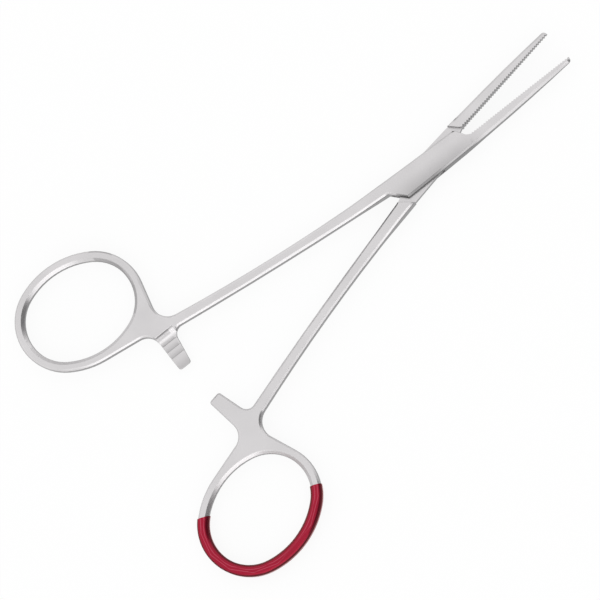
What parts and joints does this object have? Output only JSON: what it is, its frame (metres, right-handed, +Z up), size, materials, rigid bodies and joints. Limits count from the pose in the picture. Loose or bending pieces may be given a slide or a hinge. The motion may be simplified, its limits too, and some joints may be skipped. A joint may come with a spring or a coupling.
{
  "type": "hemostat forceps",
  "caption": "Straight hemostat forceps with a box lock, serrated jaws, ratchet arms and finger rings, one of them dipped red.",
  "frame": {"origin": "on the box-lock pin's axis, at the level of the box's underside", "axes": "+X along the middle line toward the jaws, +Y toward the box half's finger ring, +Z up, along the pin"},
  "size_m": [0.1229, 0.0796, 0.0036],
  "materials": {
    "steel": "satin polished",
    "red_coating": "glossy dipped"
  },
  "bodies": {
    "box_half": {"female_half": "steel", "box_lock_pin": "steel"},
    "tongue_half": {"male_half": "steel", "ring_coating": "red_coating"}
  },
  "joints": [
    {"name": "box_lock", "type": "hinge", "parent": "box_half", "child": "tongue_half", "pos_m": [0, 0, 0.0018], "axis": [0, 0, 1], "range_deg": [-10.48, 47.5]}
  ]
}
